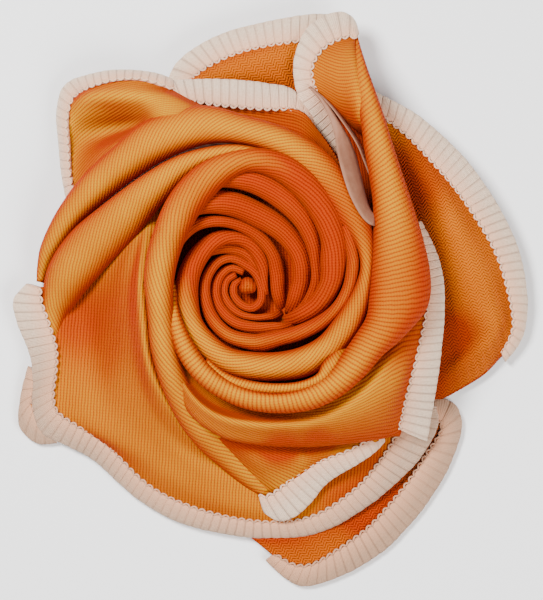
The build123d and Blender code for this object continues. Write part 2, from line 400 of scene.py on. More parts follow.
FIFTH_FOLD = [
    (-30, 18, 28, 1.5, 1.5), (-25.4, 25.2, 31.4, 2.4, 2.4), (-19.5, 28.8, 32, 3, 3.4),
    (-11, 28.6, 31.8, 3.5, 3.8), (-2.8, 25.2, 31.4, 3.5, 3.8), (4.2, 20.4, 30.9, 3.5, 3.4),
    (8.8, 13.8, 30.4, 3.2, 2.8), (9.8, 7, 30, 2.6, 2.8), (8.3, 1, 29.2, 2.4, 2.8),
    (6.6, -2.8, 26.4, 1.8, 2), (5.4, -4.6, 22, 1.2, 1.2),
]
SIXTH_FOLD = [
    (-30, 8, 27, 1, 1), (-28.8, 13.4, 29.6, 1.5, 1.5), (-25.6, 18.8, 30.4, 1.8, 1.6),
    (-21, 22.4, 30.9, 1.8, 1.7), (-14.6, 23.4, 31, 1.6, 1.7), (-8.2, 21.9, 30.9, 1.7, 1.7),
    (-2.6, 18.4, 30.6, 1.9, 2), (0.9, 13.5, 29.8, 2.1, 1.8), (2.1, 8, 28.8, 2.4, 2.1),
    (2.4, 3, 27.6, 2.4, 2), (3.2, -1, 25.4, 1.9, 1.6), (4, -3.6, 21.5, 1.2, 1.2),
]
SEVENTH_FOLD = [
    (-20.5, 12.5, 28.6, 1, 1), (-17, 14.9, 29.4, 1.5, 1.6), (-12, 15.6, 29.6, 1.7, 1.8),
    (-7, 14, 29.4, 1.6, 1.8), (-3.6, 10.2, 29, 1.4, 1.7), (-2.4, 5.6, 28, 1.2, 1.4), (-2.6, 2, 26, 1, 1),
]
HEART_FOLD = [
    (8, -6.8, 24.5, 0.9, 0.9), (4.8, -7.9, 28.4, 1.3, 1.2), (1.5, -8.1, 29.7, 1.7, 1.5),
    (-4.5, -8.2, 29.8, 1.8, 1.7), (-10.3, -6.6, 29.6, 1.7, 1.7), (-14.4, -2.6, 29.4, 1.7, 1.6),
    (-16, 2.2, 29.3, 1.6, 1.5), (-14.8, 7, 29.2, 1.5, 1.4), (-11.4, 9.6, 29, 1.2, 1.2),
    (-7.6, 8.4, 28.6, 1.1, 1.1),
]
CORE_FOLD = [
    (3.8, -3.4, 23.6, 0.9, 0.9), (1.6, -4.6, 27, 1.1, 1), (-0.8, -5, 28.3, 1.1, 1),
    (-4.6, -5.2, 28.6, 1, 1), (-8.6, -4.2, 28.6, 1.1, 1.1), (-11.8, -1.6, 28.6, 1.3, 1.3),
    (-13.6, 2.2, 28.5, 1.3, 1.3), (-12.8, 6, 28.4, 1.3, 1.3), (-10, 7.8, 28.2, 1.1, 1.1),
]
LONG_FOLD = [
    (26.1, 79, 14.6, 0.5, 0.8), (26.8, 73, 20.6, 1.3, 2.4), (28, 66.5, 24.8, 2, 3.4),
    (29.6, 60, 28, 2.6, 3.8), (31.4, 52.6, 30.8, 3.2, 4.2), (33, 46, 32.4, 3.5, 5), (35, 38, 34, 4, 5.6),
    (36.4, 29, 35.6, 5.6, 5.8), (37.2, 19, 36.4, 8, 6.5), (37, 9, 36.6, 10.6, 7),
    (36, 0.5, 36.6, 11.2, 6.6), (33.6, -7, 36.4, 7.6, 5.4), (29.6, -13.4, 36, 5, 5.2),
    (25, -19.2, 35.2, 4.6, 4.8), (19, -24.4, 34.4, 4.6, 3.4), (11.5, -28, 34, 4.6, 2.4),
    (3, -29.3, 33.8, 4.2, 1.8), (-5.5, -28.6, 33.6, 3.9, 2), (-13, -25.8, 33.6, 3.7, 2.4),
    (-19.5, -21.1, 33.6, 3.5, 2.7), (-24.2, -15, 33.6, 3.2, 2.8), (-27.2, -8, 33.4, 2.5, 2.2),
    (-28.4, -1.4, 31.4, 1.6, 1.3), (-28.4, 6, 26, 1.1, 1),
]
LOWER_RIDGE = [
    (23, -12, 27, 1.2, 1.2), (20.6, -16.4, 31.6, 2, 2), (17.6, -19.8, 33.2, 2.3, 2.2),
    (14.6, -23, 33.4, 1.9, 1.2), (8.5, -25.4, 33, 1.8, 1.2), (0.5, -25.9, 32.8, 1.8, 1.3),
    (-7, -25, 32.6, 1.7, 1.5), (-13.5, -22.6, 32.2, 1.6, 1.4), (-19, -18.2, 31.2, 1.4, 1.2),
]

# ---- the petals, as rows of control points ------------------------------------------------------

# The cloth behind the folds, at the bottom of the twist and behind the label, painted in full shade: it
# shows only through the gaps between the folds.
TWIST_BED = [
    [(-32, -30, 17), (-15, -32, 17), (0, -32, 17), (15, -30, 17), (30, -26, 17)],
    [(-33, -15, 17), (-16, -15, 14), (0, -15, 14), (14, -14, 15), (33, -12, 17)],
    [(-33, 3, 17), (-16, 3, 12), (-3, 3, 12), (10, 3, 14), (33, 4, 17)],
    [(-33, 20, 17), (-18, 18, 14), (-3, 18, 14), (10, 18, 16), (32, 20, 17)],
    [(-30, 36, 17), (-15, 38, 17), (0, 37, 17), (12, 34, 17), (28, 30, 17)],
]
LABEL_BED = [
    [(18, 58, 10), (26, 55, 10), (34, 50, 10)],
    [(23, 42, 11), (29, 40, 11), (35, 38, 11)],
    [(26, 26, 13), (31, 24, 13), (35, 22, 13)],
]
UPPER_LEFT_PETAL = [
    [(-59.5, 61, 8), (-54.5, 64.2, 11.5), (-47, 66, 15.6), (-39, 66.2, 18.6), (-31, 63.8, 20),
     (-23, 60, 20), (-14, 55.6, 20)],
    [(-60.2, 59.2, 9), (-55, 60.8, 15), (-47, 61, 20), (-38, 61, 24), (-31, 60.8, 25), (-24, 58.6, 25.4),
     (-15, 54.8, 27)],
    [(-61, 55, 9), (-56, 56, 11.5), (-48, 56, 14), (-40, 56, 19), (-33.5, 56.6, 26), (-25, 56.2, 28),
     (-16, 53.6, 30)],
    [(-61.2, 48.5, 8.8), (-56, 49.6, 6.8), (-48.5, 50.8, 8.4), (-41, 52, 14.5), (-35, 53, 24),
     (-27, 53.4, 29.2), (-17, 52, 31.4)],
    [(-60.6, 39, 9.4), (-55, 42.6, 11.6), (-48, 46, 16.6), (-41.5, 49.2, 20.8), (-35.4, 50.8, 26),
     (-27, 51, 29), (-18, 50, 30)],
    [(-59, 29.5, 11), (-53.6, 34.8, 17), (-46.4, 40.6, 19.6), (-39.5, 45.4, 22.6), (-34, 48.3, 24.6),
     (-27, 49.4, 26), (-19, 48, 27)],
]
TUCKED_PETAL = [
    [(-27, 60.6, 21), (-18, 59, 21), (-8, 58.3, 20.5), (2, 57.5, 20), (10, 56, 19), (14.5, 51, 16.5),
     (18.5, 45, 15), (22.5, 38, 14), (27, 30, 13.5)],
    [(-25, 58.4, 20), (-14, 56.2, 19), (-4, 54.4, 18.6), (5, 52.2, 18), (11.5, 49.5, 17), (16, 45.5, 15),
     (19.5, 40.5, 13.5), (23, 34.5, 13), (27.5, 27, 13)],
    [(-22, 53, 23), (-12, 51, 24), (-3, 48.6, 24), (6, 45, 23), (12, 42, 21), (17, 37.5, 18),
     (21, 32, 16), (25, 26, 15), (28.5, 20, 14)],
]
TOP_PETAL = [
    [(-25, 66.3, 10), (-18, 71.4, 10.5), (-10, 75, 11.3), (0, 77.4, 12), (11, 79, 12.6), (22, 80.5, 13)],
    [(-24, 64.5, 12), (-15, 68.6, 13.2), (-7, 71.6, 14.2), (2, 73.2, 14.6), (11, 73.6, 13.6),
     (22, 75, 12.5)],
    [(-22, 60, 12), (-12, 62, 12.5), (-4, 63.5, 12.5), (4, 64.5, 12), (12, 65, 11), (24, 66, 10)],
    [(-20, 54, 8), (-10, 55, 8), (-2, 55, 8), (6, 55, 8), (14, 55, 8), (26, 55, 8)],
]
# The corner of the cloth that turns back over the top petal.
TOP_FLAP = [
    [(25.4, 79.6, 15.5), (19.5, 78.4, 17), (14.8, 75, 18), (12.4, 71, 18.4), (12, 67, 18), (13, 63.6, 17),
     (13.6, 62.4, 15), (14.4, 61.6, 12)],
    [(25.7, 79.3, 15.6), (22.5, 76.6, 18.6), (18.6, 73, 20.2), (16.6, 68.8, 20.2), (16.6, 64, 19.6),
     (17.4, 59.8, 18), (18, 58.6, 15.6), (18.6, 57.8, 12)],
    [(25.9, 79, 15.4), (24.2, 75.4, 19.6), (22.2, 71, 21.8), (21.4, 66, 22.8), (21.8, 60.4, 22.6),
     (22.6, 55.4, 20.4), (23, 54, 17), (23.4, 53.2, 12)],
    [(26, 78.8, 15), (25.8, 74, 19.8), (26, 69, 23.2), (26.4, 63.6, 25.9), (27, 58, 27.4),
     (27.2, 52.8, 26.4), (27.3, 51, 23), (27.4, 50, 16)],
    [(26.2, 78.6, 13), (26.8, 73.6, 17.6), (27.6, 68.4, 20.6), (29, 63, 23), (30.4, 57.6, 25),
     (31, 52, 25), (31, 50, 20), (31, 48, 14)],
]
RIGHT_PETAL = [
    [(31, 58, 14), (44, 48, 13.4), (54, 37, 12.4), (62, 26.5, 11), (69, 14.5, 9.4), (73, 2, 7.6),
     (74.6, -7, 6), (73.2, -13, 4.2), (70.6, -17.2, 2.6)],
    [(33, 52, 13), (43, 42, 15), (52, 30.5, 16.4), (58, 20, 16), (63, 9, 14.6), (66.6, -1, 13.2),
     (68.6, -7.6, 11.2), (68.4, -14, 7.4), (65.6, -22.4, 3)],
    [(35, 46, 11), (42, 34, 12.4), (49.5, 20, 14.4), (54, 9, 14.6), (57, -1, 13.4), (60, -8, 10.8),
     (60.6, -13.4, 8), (60, -18, 8), (58.4, -27, 3)],
    [(36, 38, 9), (41, 26, 9.4), (46, 12, 10.4), (49, 2, 10.6), (51, -7, 9.8), (52, -13, 8),
     (52, -18, 6.8), (52, -23.6, 6.8), (51, -30.6, 3)],
    [(32, 34, 7), (36, 22, 7), (40, 8, 7), (42, -2, 6.6), (44, -9, 6), (45, -14, 5.6), (45, -19, 5),
     (45, -25, 4.4), (44, -31, 3)],
]
LOWER_WRAP = [
    [(48, -3, 22), (39, -8, 23), (31, -15, 24), (23, -23, 24), (14, -29, 22), (3, -31.5, 20),
     (-8, -30, 19), (-17, -26, 19), (-23, -20.5, 19), (-28, -13, 19)],
    [(47.2, -6, 22), (40.4, -11.4, 27), (34.5, -19, 29), (27, -27.6, 28.4), (17, -33.3, 26.8),
     (5, -34.8, 25), (-7, -34, 24.5), (-16, -31.2, 24), (-22.5, -26, 23.6), (-28.4, -17.4, 22.6)],
    [(44.8, -15, 22.4), (39.4, -21.6, 26.6), (33, -28.6, 27.2), (24.6, -34, 27), (14, -36.8, 27.6),
     (3, -37.2, 28), (-7, -36.3, 28.6), (-15.6, -33.8, 29.2), (-22.6, -28.4, 28), (-29, -18.8, 25)],
    [(42.2, -26, 19.8), (37.4, -31.6, 22.2), (31, -36.3, 22.6), (22, -39.3, 23.4), (12, -40.4, 24.4),
     (2, -40.5, 25), (-7.3, -39.7, 26), (-15.2, -37, 27.4), (-22.8, -31.4, 27), (-29.6, -21.6, 24.5)],
    [(40, -38.5, 13.4), (36, -40.4, 15.2), (30, -41.9, 17), (21, -43.2, 18.6), (11, -43.9, 19.8),
     (1, -43.6, 20.8), (-7.8, -42.6, 22.4), (-15, -40.4, 24.2), (-23, -34.6, 24.5), (-30, -24, 23)],
    [(39.4, -41.2, 9.5), (35, -41.4, 10), (29, -41.8, 12), (20, -42.6, 13.5), (10.5, -42.8, 14.5),
     (1, -42.4, 15.5), (-8, -41.4, 16.5), (-15.2, -39.4, 18.6), (-22.6, -34, 20), (-30, -24, 20)],
]
LOWER_PLEAT = [
    [(-0.2, -59.6, 6.8), (3, -57.8, 9.8), (8, -53.8, 11.8), (14, -49.8, 13), (22, -46.4, 13.6),
     (33, -42.4, 13)],
    [(-4.2, -54.4, 10.2), (1, -53.2, 12.8), (7, -50, 14.8), (15, -47.4, 15), (24, -45, 14.6),
     (33, -42, 13)],
    [(-10.4, -47.4, 14.2), (-4, -48, 16.2), (4, -47, 16.4), (13, -45.8, 15.4), (24, -43.8, 14.4),
     (33, -41, 13)],
    [(-16.6, -41, 18.4), (-9, -42.6, 18.4), (1, -43.2, 16), (11, -43, 14), (23, -41.4, 13.4),
     (32, -39.6, 12.4)],
]
LOWER_LEFT_PETAL = [
    [(-69.8, 4, 8.4), (-67.5, -6, 8), (-64.9, -15, 7.6), (-65, -22, 7), (-66.6, -30, 5.6),
     (-64, -35.6, 5), (-50, -44, 4.8), (-38, -56, 4.2), (-25, -63, 4), (-10, -67, 4), (3, -68, 4.2),
     (15, -65.6, 4.8), (27, -57.5, 5.8), (34.5, -48.5, 6.6), (40, -41, 7.4)],
    [(-66, 4, 8), (-62, -8, 6.6), (-61, -18, 6.8), (-60, -28, 6.6), (-53, -38, 8.4), (-40, -47, 9.6),
     (-27, -56, 8.6), (-12, -62, 7.4), (5, -63, 7), (20, -57, 7.6), (30, -48.5, 8.2), (38, -38, 8.4)],
    [(-60, 5, 7.5), (-55, -4, 6.5), (-52, -17, 8.4), (-47, -31, 11.6), (-35, -42, 12.4), (-22, -52, 10.5),
     (-8, -57, 8.4), (7, -57, 7.6), (20, -50, 8), (30, -43, 8.5), (36, -34, 8.5)],
    [(-40.5, 23, 20), (-43, 9, 21), (-42.8, -8, 21), (-39.6, -24, 19.4), (-31, -39, 15), (-18, -49, 10.6),
     (-4, -52, 8.6), (8, -50, 8), (20, -43, 8), (33, -30, 8)],
    [(-31, 36, 20), (-36, 24.5, 21.4), (-38.4, 8, 28.6), (-37.6, -6, 29.6), (-35.6, -20, 26.5),
     (-29, -33, 20.5), (-19.5, -45, 13), (-5, -49, 9), (8, -47, 8), (20, -40, 8), (32, -28, 8)],
    [(-28, 34, 19), (-32, 23, 20), (-34.6, 8, 24.5), (-34, -8, 24.5), (-32, -21, 21), (-26, -34, 15.5),
     (-16.5, -44, 11), (-3, -46, 8), (9, -44, 8), (20, -37, 8), (31, -26, 8)],
]
BACK_PETAL = [
    [(54, -33, 3.4), (52, -38, 3.2), (48.6, -46, 3), (43.5, -54, 2.8), (37.5, -62.5, 2.6),
     (30.5, -70, 2.5), (21, -76.8, 2.5), (12, -81.4, 2.5), (6, -81, 2.5), (1, -77.5, 2.6)],
    [(50, -35, 2.6), (47, -41, 2.4), (43, -50, 2.2), (37, -58, 2.2), (29, -65.5, 2.4), (20, -71.5, 2.8),
     (11, -75.8, 3.2), (4, -76, 3.2), (-2, -75, 2.8)],
    [(44, -33, 2), (40, -41, 1.8), (34, -50, 1.8), (26, -57, 1.8), (17, -63, 2), (8, -67, 2.4),
     (0, -69.6, 2.6), (-7, -71, 2.4)],
]
UNDER_PETAL = [
    [(-70, -19, 4), (-72, -26, 3.4), (-73.6, -33, 2.8)],
    [(-68, -18, 4), (-69, -27, 3.6), (-69.5, -36, 3)],
    [(-62, -18, 4), (-62, -27, 3.6), (-62, -36, 3)],
]


def all_cloth():
    cloth = Cloth()
    fold(cloth, UPPER_FOLD, (40, 80), deep=17)
    fold(cloth, LEFT_FOLD, (65, 50), deep=16)
    fold(cloth, MAIN_FOLD, (55, 88), deep=17, pitch=1.1)
    fold(cloth, INNER_FOLD, (80, 85), deep=11, pitch=0.8)
    fold(cloth, FOURTH_FOLD, (86, 86), deep=11, pitch=0.9)
    fold(cloth, FIFTH_FOLD, (86, 86), deep=11, pitch=0.9)
    fold(cloth, SIXTH_FOLD, (86, 86), deep=10, pitch=0.8)
    fold(cloth, SEVENTH_FOLD, (86, 86), deep=8, pitch=0.8)
    fold(cloth, HEART_FOLD, (84, 84), deep=9, pitch=0.8)
    fold(cloth, CORE_FOLD, (84, 84), deep=8, pitch=0.8)
    knob(cloth)
    fold(cloth, LONG_FOLD, (-28, 0), deep=18, pitch=1.25, shade=0.2)
    fold(cloth, LOWER_RIDGE, (20, 10), deep=13)
    petal(cloth, TWIST_BED, 0, shade=(1, 1))
    petal(cloth, LABEL_BED, 0, shade=(1, 1))
    petal(cloth, UPPER_LEFT_PETAL, 80, shade=(-0.15, 0.3))
    petal(cloth, TUCKED_PETAL, 90, shade=(0.85, 1.3))
    petal(cloth, TOP_PETAL, 40, look=1, straight=True, shade=(0.3, 1.4))
    petal(cloth, TOP_FLAP, 20, shade=(0.5, 0.1))
    petal(cloth, RIGHT_PETAL, 15, look=1, straight=True, shade=(0.1, 1.6))
    petal(cloth, LOWER_WRAP, 80, shade=(0.05, 0.9))
    petal(cloth, LOWER_PLEAT, 45, shade=(0, 1.3))
    petal(cloth, LOWER_LEFT_PETAL, -4, straight=True, shade=(0.45, 0.15))
    petal(cloth, BACK_PETAL, 35, look=1, straight=True, shade=(0.6, 1.4))
    petal(cloth, UNDER_PETAL, 0)
    # The solid's underside has the next material: the face's is the reverse, and the reverse's is the face.
    face = knit_face()
    piece = cloth.piece("towel_cloth", face, knit_reverse(), face)
    solid = piece.modifiers.new("thickness", "SOLIDIFY")
    solid.thickness = CLOTH_THICKNESS * MM
    solid.offset = -1
    solid.material_offset = 1
    solid.material_offset_rim = 1
    return piece


# ---- the overlocked edge: the inner and the outer border, x, y and z of each, at each station ---

LEFT_EDGE = [
    (-58.6, 29.6, 11, -60.4, 27.6, 8.5), (-60.2, 38, 10.3, -62.4, 38, 6.6),
    (-60.8, 47, 9.5, -63.5, 48, 4.8), (-61.2, 54.5, 9, -64.2, 56, 4), (-60, 60.4, 8, -63, 63, 4.4),
    (-57.4, 63, 8.6, -60, 66.4, 5), (-54, 64.4, 11.8, -55, 67.8, 7.6), (-47, 66, 15.6, -47.4, 68.9, 11),
    (-39, 66.2, 18.6, -38.4, 68.4, 14), (-31.5, 64.2, 20, -31.4, 66.8, 16),
    (-26, 61.5, 17, -26, 63.6, 14),
]
TUCKED_EDGE = [
    (-29, 61.6, 19.6, -31.5, 65, 15.6), (-24, 60.2, 20.4, -25.4, 65.8, 17.2),
    (-14, 58.8, 20.6, -14, 66, 17.4), (-5, 58, 20.2, -5, 65.4, 17.2), (0.5, 57.7, 19.6, 0, 64.6, 16.4),
    (5, 57.8, 18.6, 5, 63.9, 15.4), (8.6, 57.2, 17, 9, 61.4, 14), (11.4, 55.4, 15, 12, 57.4, 12.6),
    (13.6, 52.4, 12, 14.4, 53.6, 11),
]
TOP_EDGE = [
    (-24.5, 65.5, 10, -31, 65, 7), (-22.6, 68.2, 10.2, -28.4, 71, 7.4), (-18, 71.5, 10.6, -22, 76.4, 7.8),
    (-10, 75, 11.3, -12.4, 81, 8.4), (0, 77.4, 12, -1, 83.8, 9), (11, 79, 12.6, 11.4, 86, 10),
    (18, 80.2, 13, 18, 86, 10.4),
]
TURNBACK_EDGE = [
    (25.8, 78.6, 15, 26.6, 80, 12), (24.6, 79.6, 15.6, 25, 84.8, 12), (22, 79.2, 16.4, 21, 86.6, 12.4),
    (18.4, 77.8, 17.2, 15, 84.4, 14), (14.8, 75, 18, 10.4, 80, 15.6), (12.2, 70.5, 18.2, 7.6, 72.5, 16.4),
    (12, 66, 17.6, 7.6, 65.4, 16.2), (14, 61.4, 16.4, 9.8, 58.6, 15), (17.6, 56, 13.6, 13.8, 52.6, 12.4),
    (20.4, 50, 10.4, 17, 47, 9.6), (22, 44, 8, 19, 41, 7),
]
RIGHT_EDGE = [
    (31, 58, 14, 31.5, 62.6, 11.4), (38, 53, 13.8, 40, 58.4, 11.2), (44, 48, 13.4, 47.6, 53.4, 10.8),
    (54, 37, 12.4, 59.2, 42.4, 9.4), (62, 26.5, 11, 68.4, 29.6, 7.8), (69, 14.5, 9.4, 75.2, 16, 6),
    (73, 2, 7.6, 78, 2, 4.6), (74.4, -7, 6, 77.6, -8, 3.4), (73.4, -11.6, 4.8, 75.6, -13.4, 2.8),
    (70.6, -16.6, 3.6, 71.6, -18.6, 2.4),
]
WRAP_EDGE = [
    (43.6, 23, 17, 45.2, 23.6, 15), (46.4, 15, 19, 49.4, 15.4, 16.4), (48, 6, 20.6, 51.8, 7, 18.4),
    (47.6, -3, 22, 52.2, -3, 19.4), (45, -15, 22.4, 51.4, -14.4, 18.6),
    (42.4, -26, 19.8, 50, -26.4, 15.4), (40.6, -34.4, 15.6, 48.6, -36, 11.4),
    (39.8, -39, 13.4, 47.6, -42.4, 9),
]
PLEAT_EDGE = [
    (-2.6, -59.4, 8, -1, -64.6, 6), (-0.6, -60, 8.8, 3.4, -66.8, 6.6), (3, -58.2, 9.8, 8.4, -65, 7.6),
    (7, -54.8, 11, 13, -60.6, 8.6), (11.6, -51.2, 12.2, 16.6, -56, 9.8),
    (17, -48.6, 13.2, 20.6, -52.8, 11), (24, -46, 13.8, 26.2, -49.4, 12), (30, -43, 13, 31.4, -46, 11.6),
    (33.6, -40.8, 9, 34.4, -43, 8),
]
LOWER_EDGE = [
    (-69.8, 4, 8.4, -73.4, 5, 6), (-69.6, -0.5, 8.2, -77.4, 0, 5.4), (-67.8, -6, 8, -76.4, -6.6, 5),
    (-65.2, -14.6, 7.6, -72.6, -16.4, 4.4), (-65.2, -22, 7, -71.6, -24, 3.6),
    (-66, -29, 6, -71.8, -32, 3), (-64.6, -34.6, 5.2, -69.4, -40, 2.6),
    (-58, -39.2, 5, -60.6, -44.6, 2.4), (-50, -44, 4.8, -53, -48.8, 2.2), (-38, -56, 4.2, -40.4, -60, 2),
    (-25, -63, 4, -27, -67.6, 2), (-10, -67, 4, -11, -71.4, 2), (3, -68, 4.2, 4, -72.4, 2.2),
    (15, -65.6, 4.8, 17.6, -69.6, 2.8), (27, -57.5, 5.8, 31, -61.6, 3.6),
    (34.5, -48.8, 6.6, 41, -53, 4.6), (38.6, -42.4, 7.4, 47, -46, 5.6), (42, -36, 8, 51, -38, 6.4),
    (43.6, -31.5, 8, 50.4, -32, 6.4),
]
BACK_EDGE = [
    (47.4, -36, 4.6, 46.4, -31.4, 3.6), (50, -35.6, 4.2, 50, -30, 2.6), (52, -36.2, 3.6, 54.4, -30.4, 2),
    (52.8, -38, 3.2, 57.6, -33.4, 1.7), (52.2, -41, 3, 58.4, -39.6, 1.5), (48.6, -47, 2.8, 55, -50, 1.4),
    (43.5, -55, 2.7, 49.6, -59.4, 1.3), (37.5, -62.5, 2.6, 43, -68, 1.3),
    (30.5, -70, 2.5, 34.6, -76.4, 1.3), (21, -76.8, 2.5, 23, -83.4, 1.3),
    (12.6, -81.2, 2.5, 11, -87, 1.3), (6.6, -81, 2.5, 4.6, -84.2, 1.4), (1, -77.6, 2.6, -1, -79, 1.6),
]
UNDER_EDGE = [
    (-70.6, -22, 3.4, -73.2, -20, 2), (-72, -28, 3, -75.4, -29, 1.6), (-72.6, -32.4, 2.6, -76, -38, 1.4),
    (-70, -36, 2.6, -71, -43.4, 1.4), (-65, -38, 2.6, -64.6, -43.6, 1.4),
]

EDGING_THICKNESS = 2.3
EDGING_SIDES = 20
TUCKED_UNDER = 0.9  # how far the thread reaches over the cloth
PUFF = 0.14  # how much wider the thread is at the middle of a stitch
PUFF_UNEVEN = 0.16
EDGING_LIT = -2.0  # a shaded border is still lit above here
EDGING_FADE = 22.0  # and as dark as it gets this far below
CHAIN_RADIUS = 0.3
CHAIN_SIDES = 6
CHAIN_LOOP = 0.95  # how far each loop of the chain reaches over the cloth


def edging(threads, stations, shade=0.0):
    """A run of overlock: a flat band of thread wrapped round the cloth's cut border, and its looper chain.

    shade is how deep in shade its lower part is."""
    count = round(lengths(resampled(stations, 90))[-1] / EDGING_STEP)
    line = resampled(stations, count)
    total = lengths(line)
    rows = []
    knit = []
    shades = []
    chain = []
    for i, here in enumerate(line):
        before = Vector(line[max(i - 1, 0)][:3])
        after = Vector(line[min(i + 1, count)][:3])
        inner = Vector(here[:3])
        outer = Vector(here[3:])
        ahead = (after - before).normalized()
        out = outer - inner
        wide = out.length
        out.normalize()
        up = ahead.cross(out)
        if up.z < 0:
            up = -up
        up.normalize()
        stitch = total[i] / STITCH
        arc = abs(math.sin(math.pi * stitch))
        puff = arc ** 0.55
        own = noise.noise(Vector((math.floor(stitch) * 1.7, here[0] * 0.01, 3.1)))
        low = inner - out * TUCKED_UNDER
        high = inner + out * (wide + PUFF * puff + PUFF_UNEVEN * own)
        middle = (low + high) / 2
        half = (high - low).length / 2
        tall = EDGING_THICKNESS / 2 * (0.92 + 0.08 * puff)
        row = []
        row_knit = []
        for k in range(EDGING_SIDES):
            angle = 2 * math.pi * k / EDGING_SIDES
            c = math.cos(angle)
            d = math.sin(angle)
            across = math.copysign(abs(c) ** 0.8, c) * half
            lift = math.copysign(abs(d) ** 0.75, d) * tall
            row.append(middle + out * across + up * lift)
            row_knit.append((total[i], (half + across) if d >= 0 else -(half + across)))
        rows.append(row)
        knit.append(row_knit)
        shades.append(shade * min(max((EDGING_LIT - here[1]) / EDGING_FADE, 0.0), 1.0))
        reach = TUCKED_UNDER - 0.35 + CHAIN_LOOP * arc
        chain.append(inner - out * reach + up * (0.35 * tall + 0.35 * (1 - arc)))
    threads.grid(rows, knit, [[value] * EDGING_SIDES for value in shades], around=True)
    threads.cap(rows)
    looper_chain(threads, chain, total, shades)


def looper_chain(threads, chain, total, shades):
    """The raised thread that loops along the inner border of the edging."""
    last = len(chain) - 1
    rows = []
    knit = []
    for i, centre in enumerate(chain):
        ahead = (chain[min(i + 1, last)] - chain[max(i - 1, 0)]).normalized()
        side = ahead.cross(Vector((0, 0, 1))).normalized()
        up = side.cross(ahead)
        row = []
        for k in range(CHAIN_SIDES):
            angle = 2 * math.pi * k / CHAIN_SIDES
            row.append(centre + CHAIN_RADIUS * (side * math.cos(angle) + up * math.sin(angle)))
        rows.append(row)
        knit.append([(total[i], 3.0)] * CHAIN_SIDES)
    threads.grid(rows, knit, [[value] * CHAIN_SIDES for value in shades], around=True)


def all_edging():
    threads = Cloth()
    for stations in (LEFT_EDGE, TUCKED_EDGE, TOP_EDGE, TURNBACK_EDGE, RIGHT_EDGE, WRAP_EDGE, PLEAT_EDGE):
        edging(threads, stations)
    edging(threads, LOWER_EDGE, 0.6)
    edging(threads, BACK_EDGE, 0.8)
    edging(threads, UNDER_EDGE, 0.75)
    return threads.piece("towel_edging", thread())


# ---- the care label, folded once ----------------------------------------------------------------

LABEL_FRONT = [
    [(11.6, 63.6, 19.4), (14.4, 60.4, 21.4), (17.4, 55.4, 23), (19.4, 49, 25), (20.8, 41, 32.4),
     (23.4, 32, 35.6), (26.6, 25.6, 36.4), (29.2, 22.6, 35.4), (31.2, 21.8, 33)],
    [(12.2, 63.8, 19.8), (15.6, 60.2, 22), (19.4, 54.4, 23.4), (22.4, 47.4, 25.2), (24.4, 39.4, 29.6),
     (26.6, 31.4, 32.4), (28.6, 26, 33.6), (30.2, 24, 33.4), (31.6, 23.4, 32)],
    [(12.8, 63.6, 19.4), (16.6, 59.6, 21), (21, 53, 22.4), (25, 45.6, 23.6), (27.2, 38, 25.6),
     (28.8, 30.6, 28), (30, 27, 30), (31, 25.6, 30.6), (32, 25, 30.4)],
]
LABEL_BACK = [
    [(12.4, 64, 19.2), (17.4, 59, 21.4), (22, 53, 22.6), (26.2, 46.4, 23.4), (28.6, 40.6, 23.6),
     (31.6, 33, 22)],
    [(12.6, 63.8, 18.6), (18, 59.2, 19.6), (23, 53.2, 20), (27.4, 46.8, 20.4), (29.8, 41, 20.8),
     (32.6, 33.4, 20)],
]


def label():
    ribbon = Cloth()
    petal(ribbon, LABEL_FRONT, uneven=0.0)
    petal(ribbon, LABEL_BACK, uneven=0.0)
    piece = ribbon.piece("towel_label", satin())
    solid = piece.modifiers.new("thickness", "SOLIDIFY")
    solid.thickness = LABEL_THICKNESS * MM
    return piece


# ---- materials ----------------------------------------------------------------------------------

